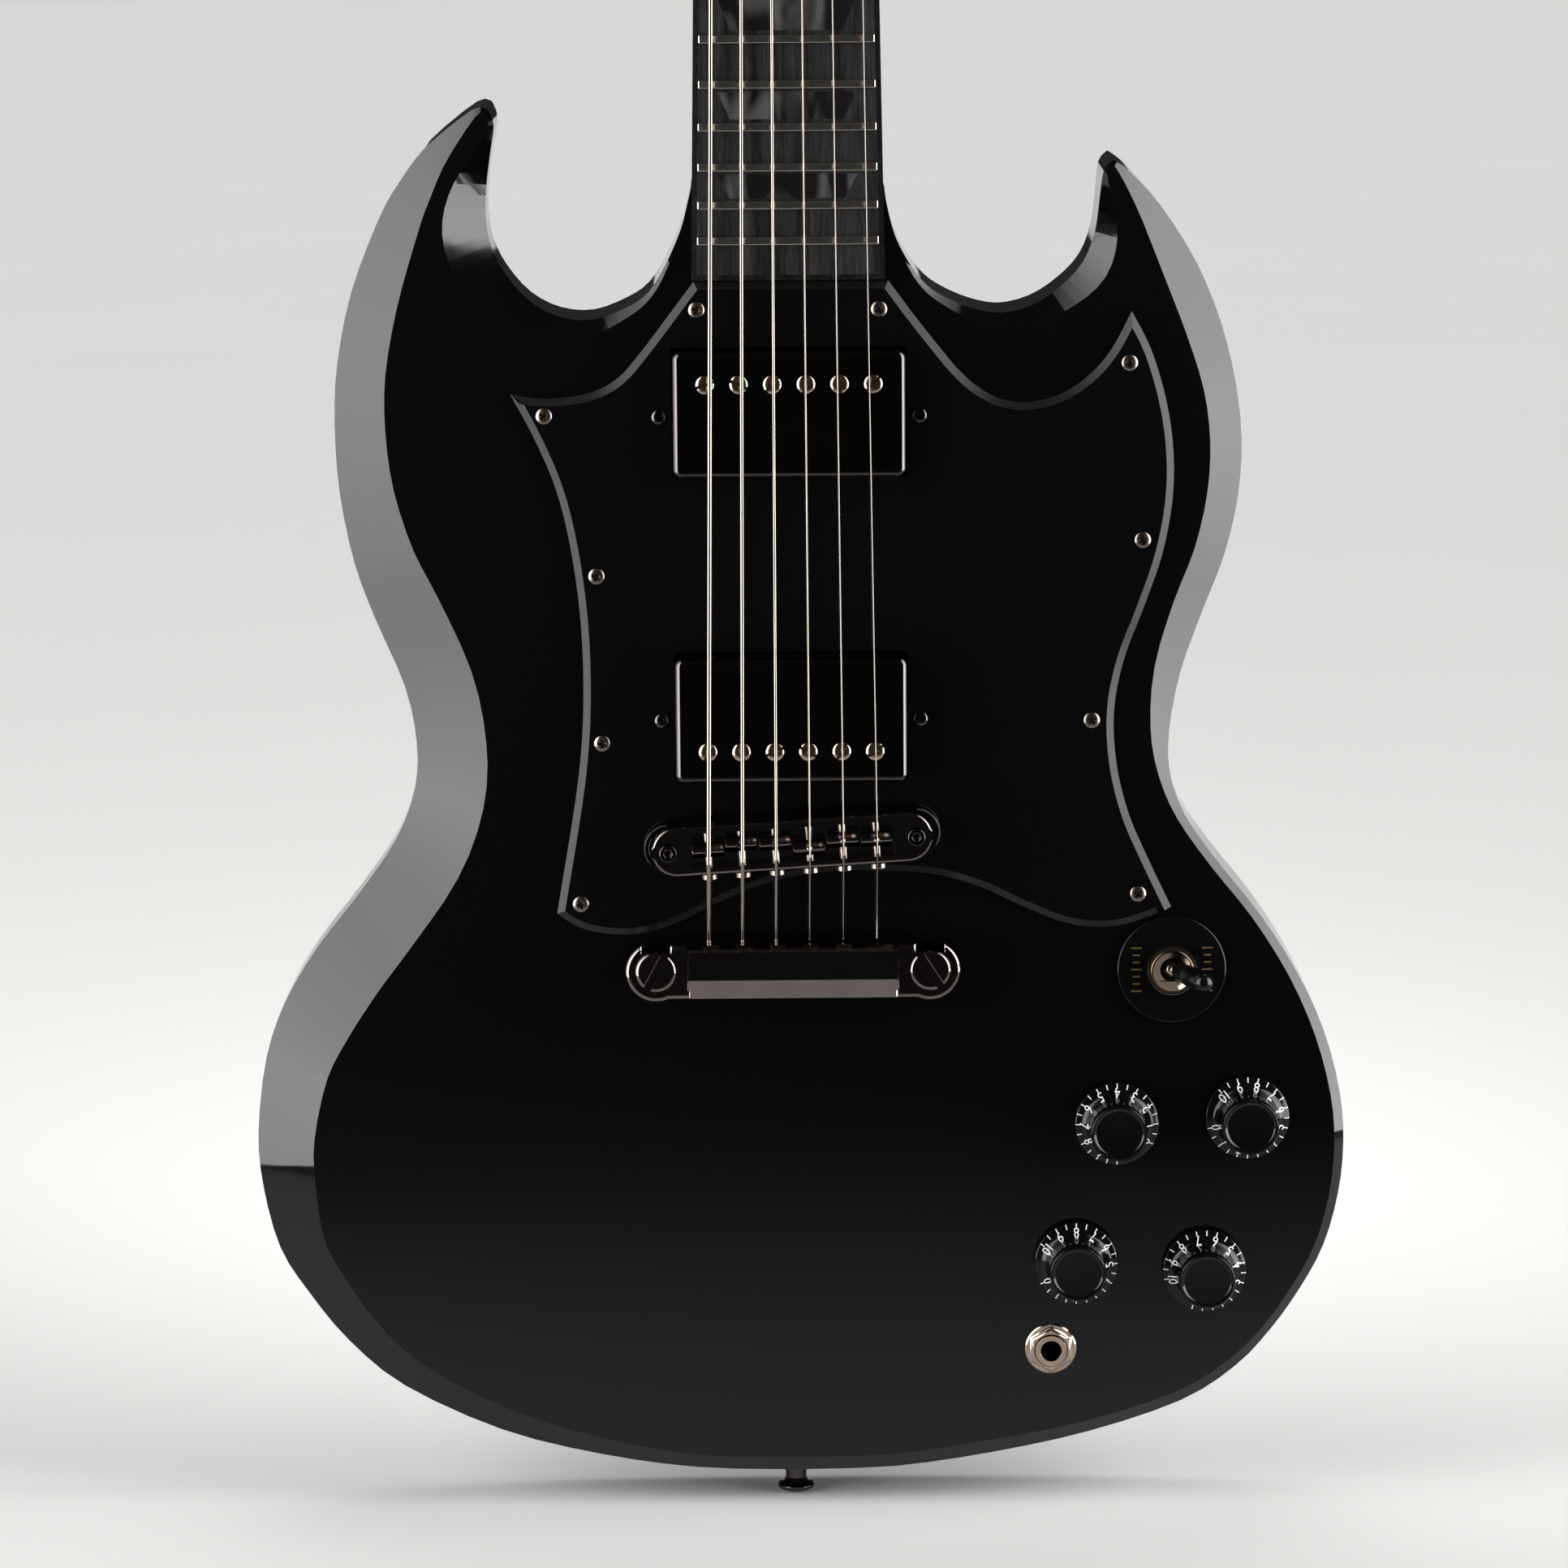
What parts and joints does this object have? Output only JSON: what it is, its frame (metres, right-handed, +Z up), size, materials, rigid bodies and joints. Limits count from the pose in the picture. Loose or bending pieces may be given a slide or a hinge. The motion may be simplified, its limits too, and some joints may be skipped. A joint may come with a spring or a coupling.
{
  "type": "electric guitar",
  "caption": "Solid-body double-cutaway electric guitar with a set neck, humbucking pickups, slanted bridge, stop tailpiece, slotted knobs and tuners, finished in black.",
  "frame": {"origin": "seat of the end strap button at the bottom of the body, at half the body thickness", "axes": "+Z runs up the guitar from the bottom of the body to the headstock, +X is the treble side, -Y is the way the face of the body looks"},
  "size_m": [0.3298, 0.1107, 1.0243],
  "materials": {
    "lacquer": "high-gloss black lacquer",
    "ebony": "oiled ebony",
    "black_binding": "polished black plastic",
    "pearl": "dark grey pearl plastic",
    "fret_wire": "polished nickel silver",
    "nut_plastic": "satin black plastic",
    "steel": "plain steel",
    "plate_plastic": "black multi-ply plastic with a bevelled edge",
    "nickel": "dulled nickel plate",
    "black_chrome": "black nickel plate",
    "coil_wire": "taped winding of enamelled wire",
    "base_metal": "nickel silver sheet",
    "saddle_metal": "black nickel plate worn at the crest",
    "string_steel": "nickel-wound and plain steel",
    "knob_plastic": "black moulded plastic",
    "switch_metal": "pressed steel frame",
    "pot_metal": "pressed steel can",
    "cover_plastic": "satin black plastic"
  },
  "bodies": {
    "guitar": {"body_core": "lacquer", "body_wings": "lacquer", "neck": "lacquer", "fingerboard": "ebony", "fingerboard_binding": "black_binding", "inlays": "pearl", "frets": "fret_wire", "nut": "nut_plastic", "truss_rod": "steel", "pickguard": "plate_plastic", "cover_plates": "cover_plastic", "plate_screws": "nickel", "pickup_covers": "black_chrome", "pickup_coils": "coil_wire", "pickup_baseplates": "base_metal", "pole_screws": "nickel", "pickup_height_screws": "black_chrome", "bridge_body": "black_chrome", "bridge_posts": "black_chrome", "bushings": "black_chrome", "tailpiece": "black_chrome", "tailpiece_studs": "black_chrome", "strings": "string_steel", "switch_ring": "cover_plastic", "switch_housing": "switch_metal", "panel_nuts": "nickel", "output_jack": "nickel", "potentiometers": "pot_metal", "tuner_housings": "black_chrome", "strap_buttons": "black_chrome"},
    "saddle_1": {"saddle_1": "saddle_metal"},
    "saddle_screw_1": {"saddle_screw_1": "nickel"},
    "saddle_2": {"saddle_2": "saddle_metal"},
    "saddle_screw_2": {"saddle_screw_2": "nickel"},
    "saddle_3": {"saddle_3": "saddle_metal"},
    "saddle_screw_3": {"saddle_screw_3": "nickel"},
    "saddle_4": {"saddle_4": "saddle_metal"},
    "saddle_screw_4": {"saddle_screw_4": "nickel"},
    "saddle_5": {"saddle_5": "saddle_metal"},
    "saddle_screw_5": {"saddle_screw_5": "nickel"},
    "saddle_6": {"saddle_6": "saddle_metal"},
    "saddle_screw_6": {"saddle_screw_6": "nickel"},
    "tuner_post_1": {"tuner_post_1": "black_chrome"},
    "tuner_button_1": {"tuner_button_1": "black_chrome"},
    "tuner_post_2": {"tuner_post_2": "black_chrome"},
    "tuner_button_2": {"tuner_button_2": "black_chrome"},
    "tuner_post_3": {"tuner_post_3": "black_chrome"},
    "tuner_button_3": {"tuner_button_3": "black_chrome"},
    "tuner_post_4": {"tuner_post_4": "black_chrome"},
    "tuner_button_4": {"tuner_button_4": "black_chrome"},
    "tuner_post_5": {"tuner_post_5": "black_chrome"},
    "tuner_button_5": {"tuner_button_5": "black_chrome"},
    "tuner_post_6": {"tuner_post_6": "black_chrome"},
    "tuner_button_6": {"tuner_button_6": "black_chrome"},
    "knob_neck_volume": {"knob_neck_volume": "knob_plastic"},
    "knob_bridge_volume": {"knob_bridge_volume": "knob_plastic"},
    "knob_neck_tone": {"knob_neck_tone": "knob_plastic"},
    "knob_bridge_tone": {"knob_bridge_tone": "knob_plastic"},
    "switch_lever": {"switch_lever": "switch_metal", "switch_tip": "knob_plastic"}
  },
  "joints": [
    {"name": "saddle_1_slide", "type": "slide", "parent": "guitar", "child": "saddle_1", "axis": [-0.0593, 0, 0.9982], "range_m": [-0.0028, 0.0024]},
    {"name": "saddle_screw_1_turn", "type": "hinge", "parent": "guitar", "child": "saddle_screw_1", "pos_m": [-0.02516, -0.0292, 0.19701], "axis": [-0.0593, 0, 0.9982], "range_deg": [-1235.3, 1441]},
    {"name": "saddle_2_slide", "type": "slide", "parent": "guitar", "child": "saddle_2", "axis": [-0.0593, 0, 0.9982], "range_m": [-0.0041, 0.0011]},
    {"name": "saddle_screw_2_turn", "type": "hinge", "parent": "guitar", "child": "saddle_screw_2", "pos_m": [-0.01509, -0.0292, 0.1976], "axis": [-0.0593, 0, 0.9982], "range_deg": [-566.7, 2109.6]},
    {"name": "saddle_3_slide", "type": "slide", "parent": "guitar", "child": "saddle_3", "axis": [-0.0593, 0, 0.9982], "range_m": [-0.0036, 0.0016]},
    {"name": "saddle_screw_3_turn", "type": "hinge", "parent": "guitar", "child": "saddle_screw_3", "pos_m": [-0.00503, -0.0292, 0.1982], "axis": [-0.0593, 0, 0.9982], "range_deg": [-823.9, 1852.4]},
    {"name": "saddle_4_slide", "type": "slide", "parent": "guitar", "child": "saddle_4", "axis": [-0.0593, 0, 0.9982], "range_m": [-0.0015, 0.0037]},
    {"name": "saddle_screw_4_turn", "type": "hinge", "parent": "guitar", "child": "saddle_screw_4", "pos_m": [0.00503, -0.0292, 0.1988], "axis": [-0.0593, 0, 0.9982], "range_deg": [-1903.9, 772.4]},
    {"name": "saddle_5_slide", "type": "slide", "parent": "guitar", "child": "saddle_5", "axis": [-0.0593, 0, 0.9982], "range_m": [-0.0032, 0.002]},
    {"name": "saddle_screw_5_turn", "type": "hinge", "parent": "guitar", "child": "saddle_screw_5", "pos_m": [0.01509, -0.0292, 0.1994], "axis": [-0.0593, 0, 0.9982], "range_deg": [-1029.6, 1646.7]},
    {"name": "saddle_6_slide", "type": "slide", "parent": "guitar", "child": "saddle_6", "axis": [-0.0593, 0, 0.9982], "range_m": [-0.0028, 0.0024]},
    {"name": "saddle_screw_6_turn", "type": "hinge", "parent": "guitar", "child": "saddle_screw_6", "pos_m": [0.02516, -0.0292, 0.2], "axis": [-0.0593, 0, 0.9982], "range_deg": [-1235.3, 1441]},
    {"name": "tuner_button_1_turn", "type": "hinge", "parent": "guitar", "child": "tuner_button_1", "pos_m": [-0.0205, 0.03094, 0.86506], "axis": [-1, 0, 0], "continuous": true},
    {"name": "tuner_post_1_turn", "type": "hinge", "parent": "guitar", "child": "tuner_post_1", "pos_m": [-0.0205, 0.0141, 0.87865], "axis": [0, -0.9553, 0.2957], "continuous": true},
    {"name": "tuner_button_2_turn", "type": "hinge", "parent": "guitar", "child": "tuner_button_2", "pos_m": [-0.0235, 0.04336, 0.90518], "axis": [-1, 0, 0], "continuous": true},
    {"name": "tuner_post_2_turn", "type": "hinge", "parent": "guitar", "child": "tuner_post_2", "pos_m": [-0.0235, 0.02652, 0.91877], "axis": [0, -0.9553, 0.2957], "continuous": true},
    {"name": "tuner_button_3_turn", "type": "hinge", "parent": "guitar", "child": "tuner_button_3", "pos_m": [-0.0265, 0.05578, 0.9453], "axis": [-1, 0, 0], "continuous": true},
    {"name": "tuner_post_3_turn", "type": "hinge", "parent": "guitar", "child": "tuner_post_3", "pos_m": [-0.0265, 0.03894, 0.95889], "axis": [0, -0.9553, 0.2957], "continuous": true},
    {"name": "tuner_button_4_turn", "type": "hinge", "parent": "guitar", "child": "tuner_button_4", "pos_m": [0.0265, 0.05578, 0.9453], "axis": [1, 0, 0], "continuous": true},
    {"name": "tuner_post_4_turn", "type": "hinge", "parent": "guitar", "child": "tuner_post_4", "pos_m": [0.0265, 0.03894, 0.95889], "axis": [0, -0.9553, 0.2957], "continuous": true},
    {"name": "tuner_button_5_turn", "type": "hinge", "parent": "guitar", "child": "tuner_button_5", "pos_m": [0.0235, 0.04336, 0.90518], "axis": [1, 0, 0], "continuous": true},
    {"name": "tuner_post_5_turn", "type": "hinge", "parent": "guitar", "child": "tuner_post_5", "pos_m": [0.0235, 0.02652, 0.91877], "axis": [0, -0.9553, 0.2957], "continuous": true},
    {"name": "tuner_button_6_turn", "type": "hinge", "parent": "guitar", "child": "tuner_button_6", "pos_m": [0.0205, 0.03094, 0.86506], "axis": [1, 0, 0], "continuous": true},
    {"name": "tuner_post_6_turn", "type": "hinge", "parent": "guitar", "child": "tuner_post_6", "pos_m": [0.0205, 0.0141, 0.87865], "axis": [0, -0.9553, 0.2957], "continuous": true},
    {"name": "knob_neck_volume_turn", "type": "hinge", "parent": "guitar", "child": "knob_neck_volume", "pos_m": [0.0977, -0.0175, 0.1096], "axis": [0, 1, 0], "range_deg": [-120, 180]},
    {"name": "knob_bridge_volume_turn", "type": "hinge", "parent": "guitar", "child": "knob_bridge_volume", "pos_m": [0.1372, -0.0175, 0.1112], "axis": [0, 1, 0], "range_deg": [-255, 45]},
    {"name": "knob_neck_tone_turn", "type": "hinge", "parent": "guitar", "child": "knob_neck_tone", "pos_m": [0.0854, -0.0175, 0.0662], "axis": [0, 1, 0], "range_deg": [-240, 60]},
    {"name": "knob_bridge_tone_turn", "type": "hinge", "parent": "guitar", "child": "knob_bridge_tone", "pos_m": [0.1244, -0.0175, 0.0636], "axis": [0, 1, 0], "range_deg": [-198, 102]},
    {"name": "switch_throw", "type": "hinge", "parent": "guitar", "child": "switch_lever", "pos_m": [0.1142, -0.0175, 0.1569], "axis": [0, 0, -1], "range_deg": [0, 44]}
  ],
  "couplings": [
    {"joint": "saddle_screw_1_turn", "follows": "saddle_1_slide", "rad_per_m": -8976},
    {"joint": "saddle_screw_2_turn", "follows": "saddle_2_slide", "rad_per_m": -8976},
    {"joint": "saddle_screw_3_turn", "follows": "saddle_3_slide", "rad_per_m": -8976},
    {"joint": "saddle_screw_4_turn", "follows": "saddle_4_slide", "rad_per_m": -8976},
    {"joint": "saddle_screw_5_turn", "follows": "saddle_5_slide", "rad_per_m": -8976},
    {"joint": "saddle_screw_6_turn", "follows": "saddle_6_slide", "rad_per_m": -8976},
    {"joint": "tuner_post_1_turn", "follows": "tuner_button_1_turn", "ratio": 0.071429},
    {"joint": "tuner_post_2_turn", "follows": "tuner_button_2_turn", "ratio": 0.071429},
    {"joint": "tuner_post_3_turn", "follows": "tuner_button_3_turn", "ratio": 0.071429},
    {"joint": "tuner_post_4_turn", "follows": "tuner_button_4_turn", "ratio": -0.071429},
    {"joint": "tuner_post_5_turn", "follows": "tuner_button_5_turn", "ratio": -0.071429},
    {"joint": "tuner_post_6_turn", "follows": "tuner_button_6_turn", "ratio": -0.071429}
  ]
}
